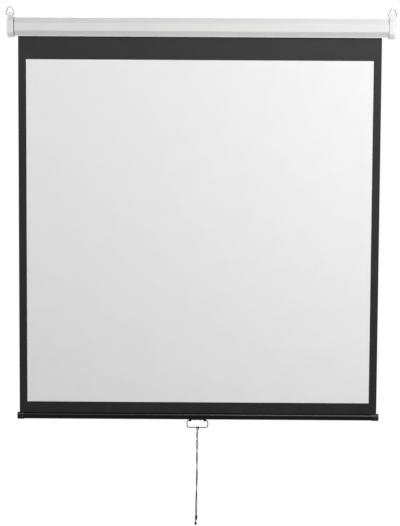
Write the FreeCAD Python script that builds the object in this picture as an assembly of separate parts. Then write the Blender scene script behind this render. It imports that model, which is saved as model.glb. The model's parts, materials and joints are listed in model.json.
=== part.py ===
import FreeCAD, Part
import math
import os

# Pull-down projection screen: a spring roller in an eight-sided casing, pulled down by a wire
# handle with a cord. Sizes in millimetres. +X is right as seen from the front, the picture side
# faces -Y and +Z is up. The origin lies midway between the two hangers, on the line through
# the inner tops of their loops, where the screen hangs.

V = FreeCAD.Vector
X, Y, Z = V(1, 0, 0), V(0, 1, 0), V(0, 0, 1)

# Casing, a folded sheet with eight flats
CASE_ACROSS = 79.0
CASE_WALL = 1.2
CASE_BEND = 3.0
CASE_VISIBLE = 1647.2
CASE_LIP = 2.5
SLOT_WIDTH = 14.0
SLOT_RETURN = 6.0

# End caps, moulded sleeves of the casing's form with soft edges. They stand out from the
# casing's top and bottom, from its front and back, and from its sloping flats.
CAP_WIDTH = 28.4
CAP_RISE = 8.5
CAP_PROUD = 5.5
CAP_SLOPE_PROUD = 10.5
CAP_CORNER = 12.0
CAP_ROUND_OUTER = 11.0
CAP_ROUND_INNER = 4.0
CAP_END_WALL = 6.0
SOCKET_DEPTH = 20.0
SOCKET_CLEAR = 0.2
SOCKET_LEDGE = 6.0
CUT_OVERRUN = 1.0

# Screws that hold the end caps on the casing
CAP_SCREW_R = 1.5
CAP_SCREW_HEAD_R = 3.0
CAP_SCREW_REACH = 4.0
CAP_SCREW_INSET = 10.0
CAP_SCREW_SPREAD = 13.0
SCREW_CLEAR = 0.1

# Hangers, wire bails in lugs on the end caps
HANGER_WIRE = 4.0
HANGER_OFFSET = 16.4
HANGER_PIVOT_DROP = 32.0
HANGER_PIVOT_RISE = 3.0
HANGER_TOP_R = 11.5
HANGER_FOOT_R = 5.5
HANGER_SPREAD = 18.75
LUG_WIDTH = 22.0
LUG_R = 9.0
LUG_ROUND = 3.0
LUG_HOLE_DEPTH = 9.0
PIVOT_CLEAR = 0.05

# Fabric, a coated sheet with a printed border
FABRIC_WIDTH = 1600.0
FABRIC_THICK = 0.5
FABRIC_OFFSET = -5.0
IMAGE_HEIGHT = 1530.0
TOP_DROP = 102.0
BOTTOM_BORDER = 49.5
HEM_LAP = 10.0
SEAT_GAP = 0.3

# Roller
TUBE_R = 18.0
TUBE_WALL = 1.0
ROLLER_BACK = 12.0
ROLL_TURNS = 2
ROLL_PITCH = 0.6
ROLL_CLEAR = 0.1
IDLE_GAP = 13.0
RATCHET_GAP = 28.0
PLUG_LENGTH = 25.0
PLUG_CLEAR = 0.05
FLANGE = 3.0
IDLE_PIN_R = 3.0
IDLE_COLLAR_R = 5.0
RUN_CLEAR = 0.05
END_PLAY = 0.5

# Spindle, spring and ratchet
SPINDLE_R = 4.0
SPINDLE_INSIDE = 400.0
TANG_THICK = 3.0
TANG_HEIGHT = 7.0
SPRING_INNER_R = 7.0
SPRING_OUTER_R = 9.5
SPRING_LENGTH = 340.0
COLLAR_LENGTH = 10.0
RATCHET_R = 10.0
RATCHET_THICK = 6.0
RATCHET_STAND_OFF = 1.0
NOTCH_FLOOR_R = 6.8
NOTCH_WIDTH = 4.6
NOTCH_RAMP = 5.0
NOTCH_OVERRUN = 2.0
PAWL_COUNT = 2
PAWL_PIVOT_R = 14.0
PAWL_THICK = 4.0
PAWL_TIP_R = 10.8
PAWL_TIP_TURN = 48.0
PAWL_NOSE_HALF = 1.4
PAWL_NOSE_LENGTH = 6.5
PAWL_NOSE_DEPTH = 3.4
PAWL_HUB_R = 3.4
PAWL_HUB_ROUND = 2.2
PAWL_HEEL_ROUND = 1.2
PAWL_TIP_ROUND = 0.6
PAWL_PIN_R = 1.5
PAWL_PIN_HEAD_R = 2.6
PAWL_PIN_HEAD = 1.0

# Plates that carry the roller in the end caps
PLATE_THICK = 2.0
PLATE_DEPTH = 34.0
PLATE_HEIGHT = 30.0
PLATE_CORNER = 4.0
PLATE_SCREW_R = 1.2
PLATE_SCREW_HEAD_R = 2.6
PLATE_SCREW_HEAD = 1.6
PLATE_SCREW_BITE = 3.5
PLATE_SCREW_SPREAD = 10.5

# Bottom bar
BAR_LENGTH = 1620.0
BAR_R = 14.5
BAR_WALL = 1.5
BAR_SLOT = 5.0
BAR_CAP_WALL = 1.7
BAR_CAP_LENGTH = 29.5
BAR_CAP_END = 3.0
BAR_CAP_BEVEL = 2.0
BAR_CAP_CLEAR = 0.1
HEM_ROD_R = 3.0
HEM_CLEAR = 0.1
HEM_MARGIN = 4.0

# Handle
HANDLE_OFFSET = -2.1
HANDLE_WIRE = 4.0
HANDLE_HALF = 46.6
HANDLE_DROP = 31.2
HANDLE_UPPER_R = 7.0
HANDLE_LOWER_R = 9.0
HANDLE_PIVOT_DROP = 5.0
EYE_HALF = 33.2
EYE_WIDTH = 9.0
EYE_R = 3.9
SADDLE_HALF = 40.0
SADDLE_THICK = 2.5
SADDLE_ANGLE = 32.0
SADDLE_CORNER = 5.0
SADDLE_CLEAR = 0.05
RIVET_R = 2.0
RIVET_HEAD_R = 3.6
RIVET_CROWN_R = 2.0
RIVET_HEAD = 1.5
RIVET_BULB_R = 2.9
RIVET_BULB = 1.5
RIVET_BULB_LIFT = 0.5
RIVET_SPREAD = 15.0

# Pull cord, folded in half and hitched round the handle's lower wire
CORD_D = 3.4
HITCH_HALF = 4.5
HITCH_OFFSET = 1.5
HITCH_CLEAR = 0.1
HITCH_EXIT_ANGLE = 40.0
HITCH_EXIT_RUN = 4.0
BEND_SHARE = 0.45
STRAND_SPOTS = 5
KNOT_DROP = 406.0
KNOT_LENGTH = 19.5
KNOT_R = 6.0
KNOT_TOP_R = 4.6
KNOT_BOTTOM_R = 3.6
KNOT_SHOULDER = 0.3
KNOT_WAIST = 0.65
KNOT_X = -4.9
END_X = -6.9
END_NECK = 2.0
END_NECK_R = 1.7
END_LENGTH = 21.0
END_R = 5.2

# Teardrop's outline below its neck, as shares of its radius and of its length
END_PROFILE = [(0.7, 0.4), (1.0, 0.75), (0.9, 0.9), (0.5, 1.0), (0.0, 1.0)]

# Route of the doubled cord below the hitch: drop below the handle's wire, middle of the two
# strands, and the right strand's distance from that middle to the right and to the back.
# The left strand mirrors it.
CORD_ROUTE = [
    (13.0, -1.4, 1.7, 1.8),
    (22.0, -2.2, -0.9, 2.1),
    (33.0, -2.6, -2.8, 0.1),
    (46.0, -2.5, -1.2, -2.1),
    (60.0, -2.3, 1.5, -2.2),
    (76.0, -2.3, 4.1, -0.1),
    (94.0, -2.5, 1.4, 2.1),
    (114.0, -2.6, -0.9, 2.0),
    (137.0, -2.7, -2.2, 0.2),
    (162.0, -2.5, -1.2, -1.8),
    (190.0, -2.4, 0.9, -2.0),
    (220.0, -2.6, 2.2, -0.4),
    (252.0, -3.1, 1.5, 1.6),
    (285.0, -3.6, -0.4, 2.1),
    (318.0, -4.2, -2.0, 1.0),
    (350.0, -4.6, -2.6, -1.1),
    (380.0, -5.2, -2.1, -0.8),
    (KNOT_DROP, -5.2, -2.1, -0.8),
]

# Worked-out places
CASE_HALF = CASE_ACROSS / 2
CASE_FLAT = CASE_HALF * math.tan(math.pi / 8)
HANGER_PIVOT_Z = -HANGER_PIVOT_DROP
CAP_TOP = HANGER_PIVOT_Z - HANGER_PIVOT_RISE
CASE_Z = CAP_TOP - CAP_RISE - CASE_HALF
CASE_BOTTOM = CASE_Z - CASE_HALF
LIP_BOTTOM = CASE_BOTTOM - CASE_LIP
CAP_INNER = CASE_VISIBLE / 2
CAP_OUTER = CAP_INNER + CAP_WIDTH
CAP_SCREW_LENGTH = CAP_RISE + CAP_SCREW_REACH
CASE_END = CAP_INNER + SOCKET_DEPTH - SEAT_GAP
PLATE_BACK = CAP_OUTER - CAP_END_WALL
PLATE_FACE = PLATE_BACK - PLATE_THICK
HANGER_X = CAP_INNER + HANGER_OFFSET
AXIS = V(0, ROLLER_BACK, CASE_Z)
TUBE_LEFT = -PLATE_FACE + IDLE_GAP
TUBE_RIGHT = PLATE_FACE - RATCHET_GAP
HEAD_FACE = TUBE_RIGHT + FLANGE
RATCHET_FACE = HEAD_FACE + RATCHET_STAND_OFF
ROLL_INNER = TUBE_R + ROLL_CLEAR
FABRIC_BACK = ROLLER_BACK - ROLL_INNER - ROLL_TURNS * ROLL_PITCH
FABRIC_Y = FABRIC_BACK - FABRIC_THICK / 2
IMAGE_BOTTOM = LIP_BOTTOM - TOP_DROP - IMAGE_HEIGHT
HEM_TOP = IMAGE_BOTTOM - HEM_LAP
BAR_Z = IMAGE_BOTTOM - BOTTOM_BORDER - BAR_R
BAR_CAP_R = BAR_R + BAR_CAP_CLEAR + BAR_CAP_WALL
BAR = V(FABRIC_OFFSET, FABRIC_Y, BAR_Z)
HANDLE_X = FABRIC_OFFSET + HANDLE_OFFSET
HANDLE_PIVOT_Z = BAR_Z - BAR_R - HANDLE_PIVOT_DROP
HANDLE_WIRE_Z = HANDLE_PIVOT_Z - HANDLE_DROP
HITCH = V(HANDLE_X + HITCH_OFFSET, FABRIC_Y, HANDLE_WIRE_Z)
HITCH_R = HANDLE_WIRE / 2 + HITCH_CLEAR + CORD_D / 2


def corner_arc(before, corner, after, radius):
    """Tangent arc that rounds a corner, as its first, middle and last points."""
    d1 = (before - corner).normalize()
    d2 = (after - corner).normalize()
    half_turn = (math.pi - d1.getAngle(d2)) / 2
    reach = radius * math.tan(half_turn)
    first, last = corner + d1 * reach, corner + d2 * reach
    middle_way = (d1 + d2).normalize()
    centre = corner + middle_way * (radius / math.cos(half_turn))
    return first, centre - middle_way * radius, last


def rounded_edges(points, radii):
    """Straight runs joined by tangent arcs, through all points of an open route."""
    edges, here = [], points[0]
    for before, corner, after, radius in zip(points, points[1:], points[2:], radii):
        first, middle, last = corner_arc(before, corner, after, radius)
        edges.append(Part.LineSegment(here, first).toShape())
        edges.append(Part.Arc(first, middle, last).toShape())
        here = last
    edges.append(Part.LineSegment(here, points[-1]).toShape())
    return edges


def rounded_face(points, radii):
    """Flat face of a closed outline with rounded corners."""
    start = (points[0] + points[-1]) / 2
    edges = rounded_edges([start] + points + [start], radii)
    return Part.Face(Part.Wire(edges))


def tube_along(edges, diameter):
    """Round bar along a smooth route."""
    first = edges[0]
    start = first.valueAt(first.FirstParameter)
    heading = first.tangentAt(first.FirstParameter)
    section = Part.Wire(Part.makeCircle(diameter / 2, start, heading))
    return Part.Wire(edges).makePipeShell([section], True, False)


def rod(radius, x0, x1, axis):
    """Cylinder along X about an axis point."""
    return Part.makeCylinder(radius, x1 - x0, V(x0, axis.y, axis.z), X)


def turned(profile, base, axis):
    """Solid of revolution from an outline of points."""
    face = Part.Face(Part.makePolygon(profile + profile[:1]))
    return face.revolve(base, axis, 360)


def box(x0, x1, y0, y1, z0, z1):
    return Part.makeBox(x1 - x0, y1 - y0, z1 - z0, V(x0, y0, z0))


def end_edges(solid, x):
    """Edges of a solid that lie in the plane at one X."""
    near = 1e-4
    return [e for e in solid.Edges if abs(e.BoundBox.XMin - x) < near and abs(e.BoundBox.XMax - x) < near]


def mirrored(shape):
    return shape.mirror(V(0, 0, 0), X)


def eight_corners(x, half_depth, half_height, slope):
    """Corners of an eight-sided outline about the casing's middle. Its sloping sides lie at
    one distance from there."""
    reach = slope * math.sqrt(2)
    top, front = reach - half_height, reach - half_depth
    corners = [(-top, -half_height), (-half_depth, -front), (-half_depth, front), (-top, half_height)]
    corners += [(-y, -z) for y, z in corners]
    return [V(x, y, CASE_Z + z) for y, z in corners]


def octagon(half, x0, x1):
    """Regular eight-sided prism about the casing's middle."""
    points = eight_corners(x0, half, half, half)
    return Part.Face(Part.makePolygon(points + points[:1])).extrude(X * (x1 - x0))


def rounded_block(x0, x1, depth, height, corner, y, z):
    """Block along X with rounded long edges."""
    half_d, half_h = depth / 2, height / 2
    points = [V(x0, y - half_d, z - half_h), V(x0, y - half_d, z + half_h)]
    points += [V(x0, y + half_d, z + half_h), V(x0, y + half_d, z - half_h)]
    return rounded_face(points, [corner] * 4).extrude(X * (x1 - x0))


def offset_route(points, distance):
    """Route moved sideways in the YZ plane, to the right of its travel."""
    sides = []
    for a, b in zip(points, points[1:]):
        along = (b - a).normalize()
        side = V(0, along.z, -along.y) * distance
        sides.append((a + side, b + side, along))
    moved = [sides[0][0]]
    for (a, _, d1), (b, _, d2) in zip(sides, sides[1:]):
        cross = d1.y * d2.z - d1.z * d2.y
        reach = ((b.y - a.y) * d2.z - (b.z - a.z) * d2.y) / cross
        moved.append(a + d1 * reach)
    moved.append(sides[-1][1])
    return moved


def cap_screw_places():
    return [
        V(side * (CAP_INNER + CAP_SCREW_INSET), y, CAP_TOP)
        for side in (-1, 1)
        for y in (-CAP_SCREW_SPREAD, CAP_SCREW_SPREAD)
    ]


def cap_screw(place, clear):
    """Countersunk screw, pointing down from the end cap's top."""
    shank, head = CAP_SCREW_R + clear, CAP_SCREW_HEAD_R + clear
    profile = [
        place,
        place + X * head,
        place + X * shank - Z * (head - shank),
        place + X * shank - Z * (CAP_SCREW_LENGTH + clear),
        place - Z * (CAP_SCREW_LENGTH + clear),
    ]
    return turned(profile, place, Z)


def casing_shell():
    half, flat = CASE_HALF, CASE_FLAT
    slot_rear = -flat + CASE_WALL + SLOT_WIDTH
    route = [
        (-flat, -half - CASE_LIP),
        (-flat, -half),
        (-half, -flat),
        (-half, flat),
        (-flat, half),
        (flat, half),
        (half, flat),
        (half, -flat),
        (flat, -half),
        (slot_rear, -half),
        (slot_rear, -half + SLOT_RETURN),
    ]
    outer = [V(-CASE_END, y, CASE_Z + z) for y, z in route]
    inner = offset_route(outer, CASE_WALL)
    lip_bend, bends = [CASE_BEND - CASE_WALL], [CASE_BEND] * (len(route) - 3)
    outside = rounded_edges(outer, lip_bend + bends)
    inside = rounded_edges(inner, [CASE_BEND] + [CASE_BEND - CASE_WALL] * len(bends))
    ends = [Part.makeLine(outer[0], inner[0]), Part.makeLine(outer[-1], inner[-1])]
    section = Part.Wire(Part.sortEdges(outside + inside + ends)[0])
    shell = Part.Face(section).extrude(X * (2 * CASE_END))
    for place in cap_screw_places():
        shell = shell.cut(cap_screw(place, SCREW_CLEAR))
    return shell


def plate_screw_places(side):
    return [V(side * PLATE_FACE, ROLLER_BACK, CASE_Z + s * PLATE_SCREW_SPREAD) for s in (-1, 1)]


def cap_body():
    """Soft-edged block of the end cap, before its socket is cut."""
    slope = CASE_HALF + CAP_SLOPE_PROUD
    corners = eight_corners(CAP_INNER, CASE_HALF + CAP_PROUD, CASE_HALF + CAP_RISE, slope)
    body = rounded_face(corners, [CAP_CORNER] * len(corners)).extrude(X * CAP_WIDTH)
    body = body.makeFillet(CAP_ROUND_OUTER, end_edges(body, CAP_OUTER))
    return body.makeFillet(CAP_ROUND_INNER, end_edges(body, CAP_INNER))


def right_end_cap():
    """Sleeve over the casing's end, with a hollow for the roller's end and the hanger's lug."""
    body = cap_body().fuse(hanger_lug()).removeSplitter()
    mouth, floor = CAP_INNER - CUT_OVERRUN, CAP_INNER + SOCKET_DEPTH
    seat = CASE_HALF + SOCKET_CLEAR
    body = body.cut(octagon(seat, mouth, floor))
    body = body.cut(octagon(seat - SOCKET_LEDGE, mouth, PLATE_BACK))
    lip_front, lip_back = -CASE_FLAT - SOCKET_CLEAR, -CASE_FLAT + CASE_WALL + SOCKET_CLEAR
    body = body.cut(box(mouth, floor, lip_front, lip_back, LIP_BOTTOM - SOCKET_CLEAR, CASE_Z))
    for place in cap_screw_places():
        if place.x > 0:
            body = body.cut(cap_screw(place, SCREW_CLEAR))
    for place in plate_screw_places(1):
        bite = PLATE_THICK + PLATE_SCREW_BITE + SCREW_CLEAR
        body = body.cut(Part.makeCylinder(PLATE_SCREW_R + SCREW_CLEAR, bite, place, X))
    return body


def hanger_lug():
    """Round-topped ear on the end cap, with a blind hole in each side for the hanger's ends."""
    x0, x1 = HANGER_X - LUG_WIDTH / 2, HANGER_X + LUG_WIDTH / 2
    pivot = V(0, 0, HANGER_PIVOT_Z)
    foot = box(x0, x1, -LUG_R, LUG_R, CASE_Z + CASE_HALF + SOCKET_CLEAR, HANGER_PIVOT_Z)
    lug = foot.fuse(rod(LUG_R, x0, x1, pivot)).removeSplitter()
    rims = [e for x in (x0, x1) for e in end_edges(lug, x) if e.BoundBox.ZMax > CAP_TOP]
    lug = lug.makeFillet(LUG_ROUND, rims)
    hole_r = HANGER_WIRE / 2 + PIVOT_CLEAR
    lug = lug.cut(rod(hole_r, x0 - CUT_OVERRUN, x0 + LUG_HOLE_DEPTH, pivot))
    return lug.cut(rod(hole_r, x1 - LUG_HOLE_DEPTH, x1 + CUT_OVERRUN, pivot))


def right_hanger():
    """Wire bail: a narrow round top, legs that spread, and feet turned in to the lug."""
    foot_end = LUG_WIDTH / 2 - LUG_HOLE_DEPTH + SEAT_GAP
    spread = math.radians(HANGER_SPREAD)
    apex = HANGER_WIRE / 2 + HANGER_TOP_R * (1 / math.sin(spread) - 1)
    foot_half = (apex - HANGER_PIVOT_Z) * math.tan(spread)
    outline = [
        (-foot_end, HANGER_PIVOT_Z),
        (-foot_half, HANGER_PIVOT_Z),
        (0, apex),
        (foot_half, HANGER_PIVOT_Z),
        (foot_end, HANGER_PIVOT_Z),
    ]
    points = [V(HANGER_X + x, 0, z) for x, z in outline]
    return tube_along(rounded_edges(points, [HANGER_FOOT_R, HANGER_TOP_R, HANGER_FOOT_R]), HANGER_WIRE)


def right_plate():
    """Stamped plate on the end cap's wall, with its two screw holes."""
    plate = rounded_block(
        PLATE_FACE, PLATE_BACK, PLATE_DEPTH, PLATE_HEIGHT, PLATE_CORNER, ROLLER_BACK, CASE_Z
    )
    for place in plate_screw_places(1):
        hole = Part.makeCylinder(PLATE_SCREW_R + SCREW_CLEAR, PLATE_THICK, place, X)
        plate = plate.cut(hole)
    return plate


def tang_plate():
    height, thick = TANG_HEIGHT / 2 + RUN_CLEAR, TANG_THICK / 2 + RUN_CLEAR
    y0, y1 = ROLLER_BACK - thick, ROLLER_BACK + thick
    slot = box(PLATE_FACE, PLATE_BACK, y0, y1, CASE_Z - height, CASE_Z + height)
    return right_plate().cut(slot)


def bearing_plate():
    return mirrored(right_plate()).cut(rod(IDLE_PIN_R + RUN_CLEAR, -PLATE_BACK, -PLATE_FACE, AXIS))


def plate_screws():
    screws = []
    for side in (-1, 1):
        for place in plate_screw_places(side):
            out = X * side
            shank = Part.makeCylinder(PLATE_SCREW_R, PLATE_THICK + PLATE_SCREW_BITE, place, out)
            head = Part.makeCylinder(PLATE_SCREW_HEAD_R, PLATE_SCREW_HEAD, place, -out)
            screws.append(shank.fuse(head).removeSplitter())
    return Part.makeCompound(screws)


def roller_tube():
    outside = rod(TUBE_R, TUBE_LEFT, TUBE_RIGHT, AXIS)
    return outside.cut(rod(TUBE_R - TUBE_WALL, TUBE_LEFT, TUBE_RIGHT, AXIS))


def fabric_roll():
    """Turns of fabric that stay on the roller, wound from half circles of growing radius."""
    x0 = FABRIC_OFFSET - FABRIC_WIDTH / 2
    edges = []
    step = ROLL_PITCH / 2
    for layer in (0, FABRIC_THICK):
        for half in range(2 * ROLL_TURNS):
            radius = ROLL_INNER + layer + (half + 1) * step
            centre = ROLLER_BACK + (step if half % 2 == 0 else 0)
            bulge = -1 if half % 2 == 0 else 1
            front, back = V(x0, centre - radius, CASE_Z), V(x0, centre + radius, CASE_Z)
            edges.append(Part.Arc(front, V(x0, centre, CASE_Z + bulge * radius), back).toShape())
    inner_start, outer_start = ROLL_INNER, ROLL_INNER + FABRIC_THICK
    inner_end = ROLL_INNER + ROLL_TURNS * ROLL_PITCH
    for a, b in ((inner_start, outer_start), (inner_end, inner_end + FABRIC_THICK)):
        edges.append(Part.makeLine(V(x0, ROLLER_BACK - a, CASE_Z), V(x0, ROLLER_BACK - b, CASE_Z)))
    section = Part.Wire(Part.sortEdges(edges)[0])
    return Part.Face(section).extrude(X * FABRIC_WIDTH)


def idle_plug():
    bore = TUBE_R - TUBE_WALL - PLUG_CLEAR
    plug = rod(bore, TUBE_LEFT, TUBE_LEFT + PLUG_LENGTH, AXIS)
    plug = plug.fuse(rod(TUBE_R, TUBE_LEFT - FLANGE, TUBE_LEFT, AXIS)).removeSplitter()
    return plug.cut(rod(IDLE_PIN_R + PLUG_CLEAR, TUBE_LEFT - FLANGE, TUBE_LEFT + PLUG_LENGTH, AXIS))


def idle_pin():
    """Round pin with a collar that keeps the roller off the bearing plate."""
    pin = rod(IDLE_PIN_R, -PLATE_BACK + END_PLAY, TUBE_LEFT + PLUG_LENGTH, AXIS)
    collar = rod(IDLE_COLLAR_R, -PLATE_FACE + END_PLAY, TUBE_LEFT - FLANGE, AXIS)
    return pin.fuse(collar).removeSplitter()


def pawl_turns():
    return [360 / PAWL_COUNT * n for n in range(PAWL_COUNT)]


def about_axis(shape, degrees):
    copy = shape.copy()
    copy.rotate(AXIS, X, degrees)
    return copy


def ratchet_head():
    """Plug and flange that close the tube at the spring end and turn on the spindle."""
    bore = TUBE_R - TUBE_WALL - PLUG_CLEAR
    head = rod(bore, TUBE_RIGHT - PLUG_LENGTH, TUBE_RIGHT, AXIS)
    head = head.fuse(rod(TUBE_R, TUBE_RIGHT, HEAD_FACE, AXIS)).removeSplitter()
    head = head.cut(rod(SPINDLE_R + RUN_CLEAR, TUBE_RIGHT - PLUG_LENGTH, HEAD_FACE, AXIS))
    pivot = AXIS + Z * PAWL_PIVOT_R
    hole = rod(PAWL_PIN_R + PLUG_CLEAR, TUBE_RIGHT - PLUG_LENGTH, HEAD_FACE, pivot)
    for degrees in pawl_turns():
        head = head.cut(about_axis(hole, degrees))
    return head


def pawl_pins():
    pivot = AXIS + Z * PAWL_PIVOT_R
    top = RATCHET_FACE + PAWL_THICK + SEAT_GAP
    pin = rod(PAWL_PIN_R, TUBE_RIGHT - PLUG_LENGTH, top, pivot)
    pin = pin.fuse(rod(PAWL_PIN_HEAD_R, top, top + PAWL_PIN_HEAD, pivot)).removeSplitter()
    return Part.makeCompound([about_axis(pin, degrees) for degrees in pawl_turns()])


def on_head(across, up, x):
    """Point on the ratchet head's face, measured from the roller's axis."""
    return V(x, ROLLER_BACK + across, CASE_Z + up)


def upper_pawl():
    """Lever drawn lifted clear of the ratchet: a hub on its pin and a nose that points inward."""
    turn = math.radians(PAWL_TIP_TURN)
    outward = V(0, -math.sin(turn), math.cos(turn))
    side = V(0, math.cos(turn), math.sin(turn))
    x0 = RATCHET_FACE
    centre, pivot = on_head(0, 0, x0), on_head(0, PAWL_PIVOT_R, x0)
    tip, heel = centre + outward * PAWL_TIP_R, centre + outward * (PAWL_TIP_R + PAWL_NOSE_LENGTH)
    nose = side * PAWL_NOSE_HALF
    hub = PAWL_HUB_R
    outline = [
        tip + nose,
        tip - nose,
        heel - nose,
        pivot + V(0, -hub, hub),
        pivot + V(0, hub, hub),
        pivot + V(0, hub, -hub),
        pivot + V(0, -hub, -hub / 2),
        tip + nose + outward * PAWL_NOSE_DEPTH,
    ]
    radii = [PAWL_TIP_ROUND] * 2 + [PAWL_HEEL_ROUND] + [PAWL_HUB_ROUND] * 3
    radii += [PAWL_HEEL_ROUND, PAWL_TIP_ROUND]
    body = rounded_face(outline, radii).extrude(X * PAWL_THICK)
    return body.cut(rod(PAWL_PIN_R + RUN_CLEAR, x0, x0 + PAWL_THICK, pivot))


def ratchet_wheel():
    """Wheel fixed on the spindle, with a notch for each pawl: one steep face and one ramp."""
    x0, x1 = RATCHET_FACE, RATCHET_FACE + RATCHET_THICK
    wheel = rod(RATCHET_R, x0, x1, AXIS).cut(rod(SPINDLE_R + PLUG_CLEAR, x0, x1, AXIS))
    turn = math.radians(PAWL_TIP_TURN)
    outward = V(0, -math.sin(turn), math.cos(turn))
    side = V(0, math.cos(turn), math.sin(turn))
    centre = on_head(0, 0, x0)
    floor, rim = centre + outward * NOTCH_FLOOR_R, centre + outward * (RATCHET_R + NOTCH_OVERRUN)
    half = side * NOTCH_WIDTH / 2
    corners = [floor + half, rim + half, rim - half - side * NOTCH_RAMP, floor - half]
    notch = Part.Face(Part.makePolygon(corners + corners[:1])).extrude(X * RATCHET_THICK)
    for degrees in pawl_turns():
        wheel = wheel.cut(about_axis(notch, degrees))
    return wheel


def spindle():
    """Fixed shaft of the roller, ending in a flat tang that the plate's slot holds."""
    x1 = RATCHET_FACE + RATCHET_THICK
    shaft = rod(SPINDLE_R, TUBE_RIGHT - SPINDLE_INSIDE, x1, AXIS)
    y0, y1 = ROLLER_BACK - TANG_THICK / 2, ROLLER_BACK + TANG_THICK / 2
    z0, z1 = CASE_Z - TANG_HEIGHT / 2, CASE_Z + TANG_HEIGHT / 2
    return shaft.fuse(box(x1, PLATE_BACK - END_PLAY, y0, y1, z0, z1)).removeSplitter()


def torsion_spring():
    """Closely wound spring, as the sleeve that its coils form."""
    x1 = TUBE_RIGHT - PLUG_LENGTH - SEAT_GAP
    sleeve = rod(SPRING_OUTER_R, x1 - SPRING_LENGTH, x1, AXIS)
    return sleeve.cut(rod(SPRING_INNER_R, x1 - SPRING_LENGTH, x1, AXIS))


def spring_collar():
    """Collar on the spindle that the spring's inner end is fixed to."""
    x1 = TUBE_RIGHT - PLUG_LENGTH - SEAT_GAP - SPRING_LENGTH
    collar = rod(SPRING_OUTER_R, x1 - COLLAR_LENGTH, x1, AXIS)
    return collar.cut(rod(SPINDLE_R + PLUG_CLEAR, x1 - COLLAR_LENGTH, x1, AXIS))


def fabric_strip(z0, z1):
    x0 = FABRIC_OFFSET - FABRIC_WIDTH / 2
    half = FABRIC_THICK / 2
    return box(x0, x0 + FABRIC_WIDTH, FABRIC_Y - half, FABRIC_Y + half, z0, z1)


def screen_fabric():
    """Hanging part of the sheet, from the roller to just below the white picture area."""
    return fabric_strip(HEM_TOP, CASE_Z - SEAT_GAP)


def hem_centre():
    """Middle of the hem rod, drawn up against the bar's inner wall beside the slot."""
    across = HEM_ROD_R + HEM_CLEAR + FABRIC_THICK / 2
    reach = BAR_R - BAR_WALL - HEM_ROD_R - HEM_CLEAR - FABRIC_THICK - SEAT_GAP
    return BAR + Y * across + Z * math.sqrt(reach**2 - across**2)


def fabric_hem():
    """Lower border of the sheet and the sleeve sewn at its edge for the hem rod."""
    centre = hem_centre()
    x0, x1 = FABRIC_OFFSET - FABRIC_WIDTH / 2, FABRIC_OFFSET + FABRIC_WIDTH / 2
    inner = HEM_ROD_R + HEM_CLEAR
    sleeve = rod(inner + FABRIC_THICK, x0, x1, centre)
    hem = fabric_strip(centre.z, HEM_TOP).fuse(sleeve)
    return hem.cut(rod(inner, x0, x1, centre)).removeSplitter()


def hem_rod():
    half = FABRIC_WIDTH / 2 - HEM_MARGIN
    return rod(HEM_ROD_R, FABRIC_OFFSET - half, FABRIC_OFFSET + half, hem_centre())


def rivet_places():
    return [V(HANDLE_X + s * RIVET_SPREAD, FABRIC_Y, BAR_Z) for s in (-1, 1)]


def bottom_bar():
    """Tube with a slot along its top for the fabric and two holes below for the handle's rivets."""
    half = BAR_LENGTH / 2 - BAR_CAP_END - BAR_CAP_CLEAR
    x0, x1 = FABRIC_OFFSET - half, FABRIC_OFFSET + half
    bar = rod(BAR_R, x0, x1, BAR).cut(rod(BAR_R - BAR_WALL, x0, x1, BAR))
    bar = bar.cut(box(x0, x1, FABRIC_Y - BAR_SLOT / 2, FABRIC_Y + BAR_SLOT / 2, BAR_Z, BAR_Z + BAR_R))
    for place in rivet_places():
        bar = bar.cut(Part.makeCylinder(RIVET_R + SCREW_CLEAR, BAR_R, place, -Z))
    return bar


def right_bar_cap():
    """Sleeve on the bar's end, open at the top where the fabric enters the bar."""
    x1 = FABRIC_OFFSET + BAR_LENGTH / 2
    x0 = x1 - BAR_CAP_LENGTH
    cap = rod(BAR_CAP_R, x0, x1, BAR)
    cap = cap.makeChamfer(BAR_CAP_BEVEL, end_edges(cap, x1))
    cap = cap.cut(rod(BAR_R + BAR_CAP_CLEAR, x0, x1 - BAR_CAP_END, BAR))
    slot_end = FABRIC_OFFSET + FABRIC_WIDTH / 2 + SEAT_GAP
    y0, y1 = FABRIC_Y - BAR_SLOT / 2, FABRIC_Y + BAR_SLOT / 2
    return cap.cut(box(x0, slot_end, y0, y1, BAR_Z, BAR_Z + BAR_CAP_R))


def left_bar_cap():
    return right_bar_cap().mirror(V(FABRIC_OFFSET, 0, 0), X)


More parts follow.
